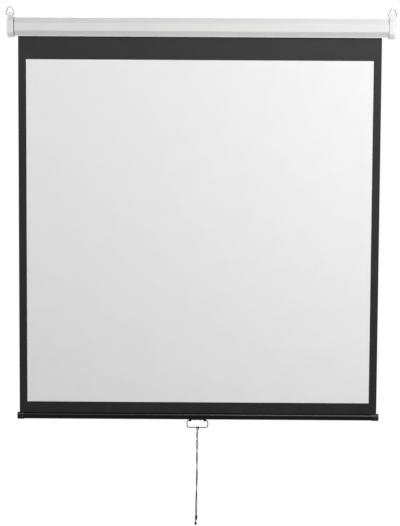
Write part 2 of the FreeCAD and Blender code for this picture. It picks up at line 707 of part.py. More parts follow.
def handle_plate():
    """Saddle under the bar with an eye near each end for the handle."""
    inner, outer = BAR_R + SADDLE_CLEAR, BAR_R + SADDLE_THICK
    x0, x1 = HANDLE_X - SADDLE_HALF, HANDLE_X + SADDLE_HALF
    half_width = outer * math.sin(math.radians(SADDLE_ANGLE))
    ring = rod(outer, x0, x1, BAR).cut(rod(inner, x0, x1, BAR))
    outline = [
        V(x0, FABRIC_Y - half_width, BAR_Z - 2 * BAR_R),
        V(x0, FABRIC_Y + half_width, BAR_Z - 2 * BAR_R),
        V(x1, FABRIC_Y + half_width, BAR_Z - 2 * BAR_R),
        V(x1, FABRIC_Y - half_width, BAR_Z - 2 * BAR_R),
    ]
    plate = ring.common(rounded_face(outline, [SADDLE_CORNER] * 4).extrude(Z * 2 * BAR_R))
    pivot = V(0, FABRIC_Y, HANDLE_PIVOT_Z)
    hole = rod(HANDLE_WIRE / 2 + PIVOT_CLEAR, x0, x1, pivot)
    for side in (-1, 1):
        e0 = HANDLE_X + side * EYE_HALF - EYE_WIDTH / 2
        eye = rod(EYE_R, e0, e0 + EYE_WIDTH, pivot)
        neck = box(
            e0, e0 + EYE_WIDTH, FABRIC_Y - EYE_R, FABRIC_Y + EYE_R, HANDLE_PIVOT_Z, BAR_Z - BAR_R
        )
        neck = neck.cut(rod(inner, e0, e0 + EYE_WIDTH, BAR))
        plate = plate.fuse(eye.fuse(neck))
    plate = plate.removeSplitter().cut(hole)
    for place in rivet_places():
        plate = plate.cut(Part.makeCylinder(RIVET_R + SCREW_CLEAR, 2 * BAR_R, place, -Z))
    return plate


def handle_rivets():
    """Blind rivets: a low head under the saddle and a bulb inside the bar."""
    rivets = []
    for place in rivet_places():
        seat = place - Z * (BAR_R + SADDLE_THICK + SADDLE_CLEAR)
        inside = place - Z * (BAR_R - BAR_WALL - RIVET_BULB_LIFT)
        head = Part.makeCone(RIVET_HEAD_R, RIVET_CROWN_R, RIVET_HEAD, seat, -Z)
        shank = Part.makeCylinder(RIVET_R, (inside - seat).Length, seat, Z)
        bulb = Part.makeCylinder(RIVET_BULB_R, RIVET_BULB, inside, Z)
        rivets.append(head.fuse([shank, bulb]).removeSplitter())
    return Part.makeCompound(rivets)


def handle_bail():
    """Rectangular wire handle whose ends turn inward through the eyes."""
    end = EYE_HALF - EYE_WIDTH / 2 - HANDLE_WIRE / 2
    outline = [
        (-end, HANDLE_PIVOT_Z),
        (-HANDLE_HALF, HANDLE_PIVOT_Z),
        (-HANDLE_HALF, HANDLE_WIRE_Z),
        (HANDLE_HALF, HANDLE_WIRE_Z),
        (HANDLE_HALF, HANDLE_PIVOT_Z),
        (end, HANDLE_PIVOT_Z),
    ]
    points = [V(HANDLE_X + x, FABRIC_Y, z) for x, z in outline]
    radii = [HANDLE_UPPER_R, HANDLE_LOWER_R, HANDLE_LOWER_R, HANDLE_UPPER_R]
    return tube_along(rounded_edges(points, radii), HANDLE_WIRE)


def round_wire(side, degrees):
    """Point of the hitch's turn round the handle's wire, from the front over the top."""
    angle = math.radians(degrees)
    return HITCH + V(side * HITCH_HALF, -HITCH_R * math.cos(angle), HITCH_R * math.sin(angle))


def hitch_edges():
    """The cord's fold: over the wire on the left, down behind it, and back over on the right."""
    low = -HITCH_EXIT_ANGLE
    middle = (180 + low) / 2
    left = Part.Arc(round_wire(-1, low), round_wire(-1, middle), round_wire(-1, 180)).toShape()
    under = HITCH + V(0, HITCH_R, -HITCH_HALF)
    fold = Part.Arc(round_wire(-1, 180), under, round_wire(1, 180)).toShape()
    right = Part.Arc(round_wire(1, 180), round_wire(1, middle), round_wire(1, low)).toShape()
    return [left, fold, right]


def strand_points(side):
    """Route of one strand, from the hitch to the knot."""
    angle = math.radians(HITCH_EXIT_ANGLE)
    start = round_wire(side, -HITCH_EXIT_ANGLE)
    exit_run = V(0, math.sin(angle), -math.cos(angle)) * HITCH_EXIT_RUN
    points = [start, start + exit_run]
    for drop, middle, across, back in CORD_ROUTE:
        points.append(HITCH + V(middle + side * across, side * back, -drop))
    return points


def route_radii(points):
    """Radius of the bend at each inner point of a cord's route."""
    radii = []
    for before, corner, after in zip(points, points[1:], points[2:]):
        d1, d2 = corner - before, after - corner
        radii.append(BEND_SHARE * min(d1.Length, d2.Length) / math.tan(d1.getAngle(d2) / 2))
    return radii


def strand_gap(left, right):
    """Least gap between the two strands, measured on points along them."""
    spots = [[p for e in strand for p in e.discretize(STRAND_SPOTS)] for strand in (left, right)]
    return min((a - b).Length for a in spots[0] for b in spots[1]) - CORD_D


def pull_cord():
    """One cord from the knot up the left strand, round the handle and down the right strand."""
    left, right = strand_points(-1)[::-1], strand_points(1)
    left_edges = rounded_edges(left, route_radii(left))
    right_edges = rounded_edges(right, route_radii(right))
    edges = left_edges + hitch_edges() + right_edges
    cord = tube_along(edges, CORD_D)
    length = sum(e.Length for e in edges)
    share = cord.Volume / (math.pi * CORD_D**2 / 4 * length)
    print("pull cord length", round(length, 1), "volume share", round(share, 4))
    print("left strand radii", [round(r, 1) for r in route_radii(left)])
    print("right strand radii", [round(r, 1) for r in route_radii(right)])
    print("least gap between strands", round(strand_gap(left_edges, right_edges), 2))
    return cord


def cord_knot():
    """Overhand knot of both strands, as the barrel that it fills."""
    top = HITCH + V(KNOT_X, 0, -KNOT_DROP)
    bottom = top - Z * KNOT_LENGTH
    shoulder = top + V(KNOT_R, 0, -KNOT_LENGTH * KNOT_SHOULDER)
    waist = top + V(KNOT_R, 0, -KNOT_LENGTH * KNOT_WAIST)
    return turned([top, top + X * KNOT_TOP_R, shoulder, waist, bottom + X * KNOT_BOTTOM_R, bottom], top, Z)


def cord_end():
    """Teardrop below the knot, on a short neck."""
    neck = HITCH + V(END_X, 0, -KNOT_DROP - KNOT_LENGTH)
    top = neck - Z * END_NECK
    profile = [neck, neck + X * END_NECK_R, top + X * END_NECK_R]
    profile += [top + V(END_R * out, 0, -END_LENGTH * down) for out, down in END_PROFILE]
    return turned(profile, neck, Z)


PIECES = {
    "casing_shell": casing_shell,
    "end_cap_left": lambda: mirrored(right_end_cap()),
    "end_cap_right": right_end_cap,
    "cap_screws": lambda: Part.makeCompound([cap_screw(p, 0) for p in cap_screw_places()]),
    "bearing_plate_left": bearing_plate,
    "tang_plate_right": tang_plate,
    "plate_screws": plate_screws,
    "hanger_left": lambda: mirrored(right_hanger()),
    "hanger_right": right_hanger,
    "roller_tube": roller_tube,
    "fabric_roll": fabric_roll,
    "idle_plug": idle_plug,
    "idle_pin": idle_pin,
    "ratchet_head": ratchet_head,
    "pawl_pins": pawl_pins,
    "pawl_upper": upper_pawl,
    "pawl_lower": lambda: about_axis(upper_pawl(), 180),
    "ratchet_wheel": ratchet_wheel,
    "spindle": spindle,
    "torsion_spring": torsion_spring,
    "spring_collar": spring_collar,
    "screen_fabric": screen_fabric,
    "fabric_hem": fabric_hem,
    "hem_rod": hem_rod,
    "bottom_bar": bottom_bar,
    "bar_cap_left": left_bar_cap,
    "bar_cap_right": right_bar_cap,
    "handle_plate": handle_plate,
    "handle_rivets": handle_rivets,
    "handle_bail": handle_bail,
    "pull_cord": pull_cord,
    "cord_knot": cord_knot,
    "cord_end": cord_end,
}

os.makedirs("parts", exist_ok=True)
for name, make in PIECES.items():
    shape = make()
    if not shape.isValid() or not shape.Solids:
        raise ValueError(name + " is not a valid solid")
    shape.exportStep("parts/" + name + ".step")
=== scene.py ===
import json
import math

import bpy
import numpy as np
from mathutils import Matrix, Vector, noise


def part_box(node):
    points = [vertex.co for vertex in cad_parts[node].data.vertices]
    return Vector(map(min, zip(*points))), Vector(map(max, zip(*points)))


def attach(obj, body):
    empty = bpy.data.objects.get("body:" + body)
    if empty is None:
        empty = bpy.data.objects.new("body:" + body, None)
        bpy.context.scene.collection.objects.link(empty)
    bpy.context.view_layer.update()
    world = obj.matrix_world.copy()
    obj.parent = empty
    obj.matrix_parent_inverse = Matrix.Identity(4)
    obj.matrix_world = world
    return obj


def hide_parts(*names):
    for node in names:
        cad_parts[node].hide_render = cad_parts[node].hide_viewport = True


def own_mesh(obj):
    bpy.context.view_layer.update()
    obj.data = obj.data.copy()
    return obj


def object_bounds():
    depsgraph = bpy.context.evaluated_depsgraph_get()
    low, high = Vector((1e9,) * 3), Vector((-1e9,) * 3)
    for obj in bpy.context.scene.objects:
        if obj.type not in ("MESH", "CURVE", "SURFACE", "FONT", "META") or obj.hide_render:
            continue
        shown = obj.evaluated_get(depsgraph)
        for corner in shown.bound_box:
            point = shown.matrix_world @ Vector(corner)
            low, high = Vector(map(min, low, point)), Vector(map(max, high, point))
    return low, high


# Pull-down projection screen. Metres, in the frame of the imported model: +X right, +Y back, +Z up.

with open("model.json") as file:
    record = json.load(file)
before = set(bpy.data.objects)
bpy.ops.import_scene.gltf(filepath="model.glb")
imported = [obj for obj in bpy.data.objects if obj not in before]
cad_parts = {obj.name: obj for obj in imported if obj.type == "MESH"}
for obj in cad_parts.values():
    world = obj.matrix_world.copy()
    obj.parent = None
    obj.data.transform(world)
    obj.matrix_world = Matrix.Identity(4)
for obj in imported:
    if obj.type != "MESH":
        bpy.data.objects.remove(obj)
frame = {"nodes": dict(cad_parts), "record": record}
cad_low, cad_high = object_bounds()
MM = 0.001

# Photograph: its frame, focal length in pixels, and the camera's place and turn
IMAGE_HEIGHT_PX = 526
FOCAL_PX = 2292.7
SENSOR_MM = 36.0
CAMERA_AT = Vector((0.0380, -10.1256, 0.1933))
CAMERA_PITCH, CAMERA_YAW, CAMERA_ROLL = 7.434, -0.212, -0.321
CAMERA_REACH = 200

# Cloth: printed borders of the picture side, thickness, size of its faces, the angle above which
# an edge is sharp, and how far it stands off flat
SIDE_BORDER = 35 * MM
TOP_DROP = 102 * MM
PRINT_LAP = 10 * MM
CLOTH_THICK = 0.5 * MM
CLOTH_STEP = 20 * MM
CLOTH_SHARP = math.radians(60)
BELLY = 1.6 * MM
BELLY_SCALE_X, BELLY_SCALE_Z = 2.2, 1.6
EDGE_CURL = 1.4 * MM
CURL_REACH = 55 * MM
CURL_MEAN, CURL_VARIES, CURL_SCALE, CURL_SEED = 0.6, 0.8, 2.4, 3.0

# Ends of the hanging sheet that stay flat: height over the bar, and drops below the casing where
# it starts and stops standing off
FLAT_AT_BAR = 120 * MM
FLAT_FROM, FLAT_TO = 160 * MM, 20 * MM

# Turns of cloth on the roller, and the hem: its turn round the rod, its welded flap behind the
# sheet, and the flap's distance behind and start above, in thicknesses of cloth
ROLL_TURNS = 2
ROLL_PITCH = 0.6 * MM
ROLL_STEPS = 96
ROLL_STEP_X = 200 * MM
HEM_WRAP = 1.72 * math.pi
HEM_STEPS = 40
HEM_STEP = 5 * MM
HEM_FLAP = 18 * MM
HEM_BEHIND = 1.1
HEM_START = 3

# Pull cord, folded in half and hitched round the handle's lower wire
CORD_D = 3.4 * MM
HITCH_HALF = 4.5 * MM
HITCH_OFFSET = 1.5 * MM
HITCH_CLEAR = 0.1 * MM
HITCH_EXIT_ANGLE = 40.0
HITCH_EXIT_RUN = 4 * MM
HITCH_STEP = 20.0
LINE_STEPS = 16

# Knot: place, length, radius of its core, how far it swells, turns, and the waves along them
KNOT_DROP = 406 * MM
KNOT_X = -4.9 * MM
KNOT_LENGTH = 19.5 * MM
KNOT_STEPS = 36
KNOT_CORE_R = 1.7 * MM
KNOT_SWELL = 2.6 * MM
KNOT_SWELL_START = 0.12
KNOT_SWELL_POWER = 0.6
KNOT_TURNS = 2.1
KNOT_START_ANGLE = math.radians(20)
KNOT_WAVE = 0.8 * MM
KNOT_WAVES = 3

# Teardrop end: neck, length and radius, the shares of its length where it is widest and where its
# round end starts, and its twisted grooves
END_X = -6.9 * MM
END_NECK = 2 * MM
END_NECK_R = 1.7 * MM
END_LENGTH = 21 * MM
END_R = 5.2 * MM
END_STEPS = 24
END_SIDES = 48
END_WIDEST = 0.78
END_ROUND_FROM = 0.7
END_TIP_SHARE = 0.001
END_TWIST = 0.9
END_GROOVES = 12
END_GROOVE_SHARE = 0.06

# Route of the doubled cord below the hitch: drop below the handle's wire, middle of the two
# strands, and the right strand's distance from that middle to the right and to the back.
# The left strand mirrors it.
CORD_ROUTE = [
    (0.013, -0.0014, 0.0017, 0.0018),
    (0.022, -0.0022, -0.0009, 0.0021),
    (0.033, -0.0026, -0.0028, 0.0001),
    (0.046, -0.0025, -0.0012, -0.0021),
    (0.060, -0.0023, 0.0015, -0.0022),
    (0.076, -0.0023, 0.0041, -0.0001),
    (0.094, -0.0025, 0.0014, 0.0021),
    (0.114, -0.0026, -0.0009, 0.0020),
    (0.137, -0.0027, -0.0022, 0.0002),
    (0.162, -0.0025, -0.0012, -0.0018),
    (0.190, -0.0024, 0.0009, -0.0020),
    (0.220, -0.0026, 0.0022, -0.0004),
    (0.252, -0.0031, 0.0015, 0.0016),
    (0.285, -0.0036, -0.0004, 0.0021),
    (0.318, -0.0042, -0.0020, 0.0010),
    (0.350, -0.0046, -0.0026, -0.0011),
    (0.380, -0.0052, -0.0021, -0.0008),
    (0.406, -0.0052, -0.0021, -0.0008),
]

# Countersunk screws in the end caps: shank, head, and the cross recess with each screw's turn
SCREW_R = 1.5 * MM
SCREW_HEAD_R = 3.0 * MM
SCREW_RIM = 0.12 * MM
SCREW_SIDES = 48
RECESS_SPAN = 3.4 * MM
RECESS_WIDTH = 0.85 * MM
RECESS_DEPTH = 1.3 * MM
RECESS_TAPER = 0.6
RECESS_TURNS = (17, 64, 41, 83)
RECESS_OVERRUN = RECESS_DEPTH / 4
SCREW_SHARP = math.radians(30)

# Braid of the cord: rings along it, sides round it, carriers, height of its relief, the part of it
# that lies inside the cord's radius, and how far a carrier dips at its crossings
BRAID_RING = 0.5 * MM
BRAID_SIDES = 28
BRAID_CARRIERS = 6
BRAID_STEP = 1.9 * MM
BRAID_RELIEF = 0.22 * MM
BRAID_INSIDE = 0.7
BRAID_DIP = 0.4

# Painted shadow that each end cap casts on the casing beside its mouth: the cap's mouth, from the
# middle of the casing, and the painted shadow's width on the casing at the left and right ends
MOUTH_X = 823.6 * MM
LEFT_CAP_SHADOW = 3.6 * MM
RIGHT_CAP_SHADOW = 0.6 * MM
CAP_SHADOW_COLOUR = (0.05, 0.05, 0.05, 1)

# Studio: light from all round, and soft lamps as their place, the point they face, width, height
# and watts. The glint lamps show in glossy surfaces only.
AMBIENT = 0.14
LEFT_LAMP = ((-2.8, -3.3, 0.6), (0, 0, -0.5), 0.8, 0.8, 53)
RIGHT_LAMP = ((1.8, -2.8, 0.2), (0.3, 0, -0.2), 1.4, 3.0, 81)
BACK_LAMP = ((-1.4, 3.4, 0.6), (0, 0, -0.9), 2.0, 2.0, 80)
SIDE_LAMPS = [((side * 4.0, 0.0, 0.1), (0, 0, -0.4), 1.0, 1.0, 40) for side in (-1, 1)]
TOP_LAMP = ((1.2, 0.3, 2.0), (0.7, 0, 0), 1.4, 0.8, 14)
GLINT_LAMPS = [
    ((1.0, -1.7, 1.3), (0.7, 0, -1.8), 2.2, 1.1, 260),
    ((-1.2, -1.7, 1.3), (-0.7, 0, -1.8), 2.0, 1.1, 55),
]
FLOOR_DROP = 0.15
FLOOR_RADIUS = 4.0
FLOOR_PAINT = 0.45
FLOOR_GLOW = 1.085
FLOOR_GLOW_SHARE = 0.9
FLOOR_SIDES = 96


# Shader helpers

def material(name, colour, roughness, **sockets):
    """Material with a plain shader; returns it with its node tree and shader."""
    made = bpy.data.materials.new(name)
    made.use_nodes = True
    shader = made.node_tree.nodes["Principled BSDF"]
    shader.inputs["Base Color"].default_value = (*colour, 1)
    shader.inputs["Roughness"].default_value = roughness
    for socket, value in sockets.items():
        shader.inputs[socket.replace("_", " ")].default_value = value
    return made, made.node_tree, shader


def add(tree, kind, **settings):
    made = tree.nodes.new(kind)
    for name, value in settings.items():
        setattr(made, name, value)
    return made


def place(tree, source, scale=(1, 1, 1)):
    """Texture coordinates in metres, scaled along each axis."""
    coordinates = add(tree, "ShaderNodeTexCoord")
    mapping = add(tree, "ShaderNodeMapping")
    mapping.inputs["Scale"].default_value = scale
    tree.links.new(coordinates.outputs[source], mapping.inputs["Vector"])
    return mapping.outputs["Vector"]


def noise_of(tree, where, scale, detail=3.0):
    made = add(tree, "ShaderNodeTexNoise")
    made.inputs["Scale"].default_value = scale
    made.inputs["Detail"].default_value = detail
    tree.links.new(where, made.inputs["Vector"])
    return made.outputs["Fac"]


def range_of(tree, value, low, high):
    made = add(tree, "ShaderNodeMapRange")
    made.inputs["To Min"].default_value = low
    made.inputs["To Max"].default_value = high
    tree.links.new(value, made.inputs["Value"])
    return made.outputs["Result"]


def sum_of(tree, a, b, weight):
    """a plus b times a weight."""
    made = add(tree, "ShaderNodeMath", operation="MULTIPLY_ADD")
    tree.links.new(b, made.inputs[0])
    made.inputs[1].default_value = weight
    tree.links.new(a, made.inputs[2])
    return made.outputs["Value"]


def bump(tree, shader, height, depth):
    """Relief of the surface, with its depth in metres."""
    made = add(tree, "ShaderNodeBump")
    made.inputs["Strength"].default_value = 1.0
    made.inputs["Distance"].default_value = depth
    tree.links.new(height, made.inputs["Height"])
    tree.links.new(made.outputs["Normal"], shader.inputs["Normal"])


def tint(tree, shader, value, low, high):
    """Base colour that goes between two greys or colours with a value from 0 to 1."""
    ramp = add(tree, "ShaderNodeValToRGB")
    for element, at, colour in zip(ramp.color_ramp.elements, (0.3, 0.7), (low, high)):
        element.position = at
        element.color = (*colour, 1)
    tree.links.new(value, ramp.inputs["Fac"])
    tree.links.new(ramp.outputs["Color"], shader.inputs["Base Color"])


def darken(tree, shader, mask, colour):
    """Mixes a colour into the base colour that is already linked."""
    base = shader.inputs["Base Color"]
    mix = add(tree, "ShaderNodeMixRGB")
    tree.links.new(mask, mix.inputs["Fac"])
    tree.links.new(base.links[0].from_socket, mix.inputs["Color1"])
    mix.inputs["Color2"].default_value = colour
    tree.links.new(mix.outputs["Color"], base)


def vary_gloss(tree, shader, value, low, high):
    tree.links.new(range_of(tree, value, low, high), shader.inputs["Roughness"])


# Materials

def cap_shadow_mask(tree, where):
    """1 where the caps' shadow is painted on the casing beside their mouths, and 0 elsewhere."""
    axes = add(tree, "ShaderNodeSeparateXYZ")
    tree.links.new(where, axes.inputs["Vector"])
    bands = []
    for side, width in ((-1, LEFT_CAP_SHADOW), (1, RIGHT_CAP_SHADOW)):
        band = add(tree, "ShaderNodeMath", operation="COMPARE")
        tree.links.new(axes.outputs["X"], band.inputs[0])
        band.inputs[1].default_value = side * (MOUTH_X - width / 2)
        band.inputs[2].default_value = width / 2
        bands.append(band.outputs["Value"])
    return sum_of(tree, *bands, 1.0)


def casing_paint():
    """Satin white paint on rolled sheet, with fine orange peel, faint lines and a painted shadow
    of the caps on the casing beside their mouths."""
    made, tree, shader = material("casing_paint", (0.77, 0.77, 0.765), 0.38)
    shader.inputs["Specular IOR Level"].default_value = 0.12
    where = place(tree, "Object")
    cloud = noise_of(tree, where, 6.0)
    tint(tree, shader, cloud, (0.755, 0.756, 0.752), (0.785, 0.785, 0.780))
    # Painted shadow of the end caps on the casing beside their mouths, wider at the left end.
    darken(tree, shader, cap_shadow_mask(tree, where), CAP_SHADOW_COLOUR)
    peel = noise_of(tree, where, 420.0, 2.0)
    lines = noise_of(tree, place(tree, "Object", (0.8, 140, 140)), 3.0, 4.0)
    vary_gloss(tree, shader, lines, 0.33, 0.45)
    bump(tree, shader, sum_of(tree, peel, lines, 0.6), 0.05 * MM)
    return made


def cap_plastic():
    """White moulded plastic with a fine spark-eroded grain."""
    made, tree, shader = material("cap_plastic", (0.80, 0.80, 0.795), 0.5)
    shader.inputs["Specular IOR Level"].default_value = 0.12
    where = place(tree, "Object")
    tint(tree, shader, noise_of(tree, where, 14.0), (0.785, 0.786, 0.780), (0.815, 0.815, 0.810))
    grain = noise_of(tree, where, 1600.0, 2.0)
    vary_gloss(tree, shader, noise_of(tree, where, 60.0), 0.42, 0.56)
    bump(tree, shader, grain, 0.04 * MM)
    return made


def plated(name, low, high, rough_low, rough_high):
    """Plated or bare metal with a fine mottle."""
    made, tree, shader = material(name, low, rough_low, Metallic=1.0)
    where = place(tree, "Object")
    mottle = noise_of(tree, where, 220.0, 4.0)
    tint(tree, shader, mottle, low, high)
    vary_gloss(tree, shader, noise_of(tree, where, 900.0), rough_low, rough_high)
    bump(tree, shader, mottle, 0.01 * MM)
    return made


def drawn_tube():
    """Bare drawn tube with fine lines along its length."""
    made, tree, shader = material("tube_metal", (0.75, 0.75, 0.76), 0.3, Metallic=1.0)
    lines = noise_of(tree, place(tree, "Object", (1.5, 700, 700)), 3.0, 5.0)
    tint(tree, shader, lines, (0.68, 0.68, 0.69), (0.80, 0.80, 0.81))
    vary_gloss(tree, shader, lines, 0.24, 0.4)
    bump(tree, shader, lines, 0.02 * MM)
    return made


def black_plastic(name, base, rough):
    """Black moulded plastic with a fine grain and faint scuffs."""
    made, tree, shader = material(name, (base, base, base), rough)
    shader.inputs["Specular IOR Level"].default_value = 0.12
    where = place(tree, "Object")
    scuffs = noise_of(tree, where, 90.0, 5.0)
    tint(tree, shader, scuffs, (base * 0.8,) * 3, (base * 1.5,) * 3)
    vary_gloss(tree, shader, scuffs, rough - 0.06, rough + 0.1)
    bump(tree, shader, noise_of(tree, where, 1500.0, 2.0), 0.04 * MM)
    return made


def black_paint(name, base, rough):
    """Semi-gloss black paint on metal: orange peel and slight changes of gloss."""
    made, tree, shader = material(name, (base, base, base), rough)
    shader.inputs["Specular IOR Level"].default_value = 0.08
    where = place(tree, "Object")
    tint(tree, shader, noise_of(tree, where, 30.0), (base * 0.8,) * 3, (base * 1.3,) * 3)
    vary_gloss(tree, shader, noise_of(tree, where, 45.0, 4.0), rough - 0.04, rough + 0.06)
    bump(tree, shader, noise_of(tree, where, 520.0, 2.0), 0.012 * MM)
    return made


def weave(tree, where, period):
    """Height of a plain weave of that period, from two crossing bands. A wave of scale 1 repeats
    every tau / 20."""
    bands = []
    for direction in ("X", "Y"):
        made = add(tree, "ShaderNodeTexWave", wave_type="BANDS", bands_direction=direction)
        made.inputs["Scale"].default_value = math.tau / (20 * period)
        made.inputs["Distortion"].default_value = 0.4
        tree.links.new(where, made.inputs["Vector"])
        bands.append(made.outputs["Fac"])
    return sum_of(tree, bands[0], bands[1], 1.0)


def cloth(name, low, high, rough, specular, weave_depth):
    """Coated glass-fibre cloth: an even matte coat over a fine weave."""
    made, tree, shader = material(name, low, rough)
    shader.inputs["Specular IOR Level"].default_value = specular
    where = place(tree, "UV")
    tint(tree, shader, noise_of(tree, where, 9.0, 4.0), low, high)
    vary_gloss(tree, shader, noise_of(tree, where, 130.0), rough - 0.04, rough + 0.04)
    relief = sum_of(tree, weave(tree, where, 0.8 * MM), noise_of(tree, where, 2500.0, 1.0), 0.5)
    bump(tree, shader, relief, weave_depth)
    return made


def cord_yarn():
    """Black polyester yarn with fine filaments."""
    made, tree, shader = material("cord_yarn", (0.008, 0.008, 0.008), 0.75)
    shader.inputs["Specular IOR Level"].default_value = 0.1
    where = place(tree, "UV")
    strands = noise_of(tree, where, 900.0, 3.0)
    tint(tree, shader, strands, (0.004, 0.004, 0.004), (0.013, 0.013, 0.012))
    vary_gloss(tree, shader, strands, 0.6, 0.8)
    bump(tree, shader, noise_of(tree, where, 4000.0, 2.0), 0.05 * MM)
    return made


WHITE_CLOTH = cloth("cloth_white", (0.885,) * 3, (0.90,) * 3, 0.85, 0.1, 0.02 * MM)
BLACK_CLOTH = cloth("cloth_black", (0.012,) * 3, (0.016,) * 3, 0.5, 0.13, 0.03 * MM)
CORD_YARN = cord_yarn()
STEEL = plated("steel", (0.50, 0.50, 0.51), (0.64, 0.64, 0.65), 0.28, 0.42)
FINISHES = {
    "casing_paint": casing_paint(),
    "cap_plastic": cap_plastic(),
    "steel": STEEL,
    "hanger_wire": plated("hanger_wire", (0.12, 0.12, 0.122), (0.18, 0.18, 0.183), 0.25, 0.38),
    "tube_metal": drawn_tube(),
    "plug_plastic": black_plastic("plug_plastic", 0.03, 0.5),
    "screen_cloth": BLACK_CLOTH,
    "border_cloth": BLACK_CLOTH,
    "bar_paint": black_paint("bar_paint", 0.003, 0.24),
    "bar_cap_plastic": black_plastic("bar_cap_plastic", 0.006, 0.42),
    "handle_wire": black_paint("handle_wire", 0.006, 0.35),
    "cord": CORD_YARN,
}
for part in frame["record"]["subparts"]:
    mesh = frame["nodes"][part["node"]].data
    mesh.materials.clear()
    mesh.materials.append(FINISHES[part["material_slot"]])


# Mesh helpers

def piece(name, vertices, faces, materials, smooth=True):
    """New mesh object from its points and faces."""
    mesh = bpy.data.meshes.new(name)
    mesh.from_pydata([tuple(v) for v in vertices], [], faces)
    for finish in materials:
        mesh.materials.append(finish)
    mesh.polygons.foreach_set("use_smooth", [smooth] * len(mesh.polygons))
    mesh.update()
    made = bpy.data.objects.new(name, mesh)
    bpy.context.scene.collection.objects.link(made)
    return made


def steps_between(marks, step):
    """Values from the first mark to the last, through all marks, in even steps up to a length."""
    values = [marks[0]]
    for a, b in zip(marks, marks[1:]):
        count = max(1, math.ceil(abs(b - a) / step))
        values += [a + (b - a) * n / count for n in range(1, count + 1)]
    return values


def spline_points(name, controls):
    """Points along the smooth line that these points control."""
    curve = bpy.data.curves.new(name, "CURVE")
    curve.dimensions = "3D"
    spline = curve.splines.new("NURBS")
    spline.points.add(len(controls) - 1)
    for point, control in zip(spline.points, controls):
        point.co = (*control, 1)
    spline.order_u = 3
    spline.use_endpoint_u = True
    spline.resolution_u = LINE_STEPS
    holder = bpy.data.objects.new(name, curve)
    mesh = bpy.data.meshes.new_from_object(holder)
    points = np.array([v.co for v in mesh.vertices], float)
    bpy.data.objects.remove(holder)
    bpy.data.meshes.remove(mesh)
    return points


def evenly(points, step):
    """The same line with points at even distances."""
    reach = np.concatenate([[0], np.cumsum(np.linalg.norm(np.diff(points, axis=0), axis=1))])
    count = max(2, round(reach[-1] / step))
    wanted = np.linspace(0, reach[-1], count + 1)
    return np.column_stack([np.interp(wanted, reach, points[:, k]) for k in range(3)])


def frames_along(line):
    """Two directions across a line at each of its points, carried along without twist."""
    tangents = np.gradient(line, axis=0)
    tangents /= np.linalg.norm(tangents, axis=1)[:, None]
    across = np.cross(tangents[0], (0, 1, 0))
    if np.linalg.norm(across) < 0.1:
        across = np.cross(tangents[0], (1, 0, 0))
    firsts = []
    for tangent in tangents:
        across = across - tangent * across.dot(tangent)
        across /= np.linalg.norm(across)
        firsts.append(across)
    firsts = np.array(firsts)
    return firsts, np.cross(tangents, firsts)


def braid_height(around, along):
    """Relief of a braid from 0 to 1: carriers that pass over and under each other."""
    one, other = around + along, around - along
    over = (np.floor(one) + np.floor(other)) % 2 < 0.5
    hump_one, hump_other = np.sin(np.pi * (one % 1)), np.sin(np.pi * (other % 1))
    dip_one, dip_other = (1 - BRAID_DIP + BRAID_DIP * hump for hump in (hump_other, hump_one))
    return np.where(over, hump_one * dip_one, hump_other * dip_other)


def braided_tube(name, line, diameter):
    """Braided cord along a line, with its ends closed; UV runs in metres along and round it."""
    firsts, seconds = frames_along(line)
    rings, sides = len(line), BRAID_SIDES
    turn = np.arange(sides) / sides
    along = np.concatenate([[0], np.cumsum(np.linalg.norm(np.diff(line, axis=0), axis=1))])
    height = braid_height(turn[None, :] * BRAID_CARRIERS, along[:, None] / BRAID_STEP)
    radius = diameter / 2 + BRAID_RELIEF * (height - BRAID_INSIDE)
    cos, sin = np.cos(math.tau * turn), np.sin(math.tau * turn)
    spokes = firsts[:, None, :] * cos[None, :, None] + seconds[:, None, :] * sin[None, :, None]
    vertices = (line[:, None, :] + spokes * radius[:, :, None]).reshape(-1, 3)
    faces = []
    for i in range(rings - 1):
        for j in range(sides):
            k = (j + 1) % sides
            faces.append((i * sides + j, i * sides + k, (i + 1) * sides + k, (i + 1) * sides + j))
    last = (rings - 1) * sides
    faces += [tuple(range(sides))[::-1], tuple(range(last, last + sides))]
    made = piece(name, vertices, faces, [CORD_YARN])
    layer = made.data.uv_layers.new(name="UVMap")
    for loop in made.data.loops:
        ring, side = divmod(loop.vertex_index, sides)
        layer.data[loop.index].uv = (along[ring], side / sides * math.pi * diameter)
    return made


# End cap screws

def turned_mesh(profile, centre, sides):
    """Points and faces of a solid turned about Z from (radius, height) points, lowest first."""
    vertices, faces = [], []
    for radius, height in profile:
        for j in range(sides):
            angle = math.tau * j / sides
            x = centre[0] + radius * math.cos(angle)
            y = centre[1] + radius * math.sin(angle)
            vertices.append((x, y, height))
    for i in range(len(profile) - 1):
        for j in range(sides):
            k = (j + 1) % sides
            faces.append((i * sides + j, i * sides + k, (i + 1) * sides + k, (i + 1) * sides + j))
    last = (len(profile) - 1) * sides
    faces += [tuple(range(sides))[::-1], tuple(range(last, last + sides))]
    return vertices, faces


def cross_mesh(centre, top, turn):
    """Points and faces of a cross that narrows downwards, to cut a driver's recess."""
    arm, half = RECESS_SPAN / 2, RECESS_WIDTH / 2
    outline = []
    for quarter in range(4):
        angle = math.radians(turn) + math.pi / 2 * quarter
        along = Vector((math.cos(angle), math.sin(angle)))
        across = Vector((-math.sin(angle), math.cos(angle)))
        outline += [along * arm - across * half, along * arm + across * half]
        outline.append(along * half + across * half)
    count = len(outline)
    vertices = [(*(centre + p * RECESS_TAPER), top - RECESS_DEPTH) for p in outline]
    vertices += [(*(centre + p), top + RECESS_OVERRUN) for p in outline]
    faces = [tuple(range(count))[::-1], tuple(range(count, 2 * count))]
    faces += [(n, (n + 1) % count, (n + 1) % count + count, n + count) for n in range(count)]
    return vertices, faces


def joined(meshes):
    vertices, faces = [], []
    for some_vertices, some_faces in meshes:
        faces += [tuple(n + len(vertices) for n in face) for face in some_faces]
        vertices += some_vertices
    return vertices, faces


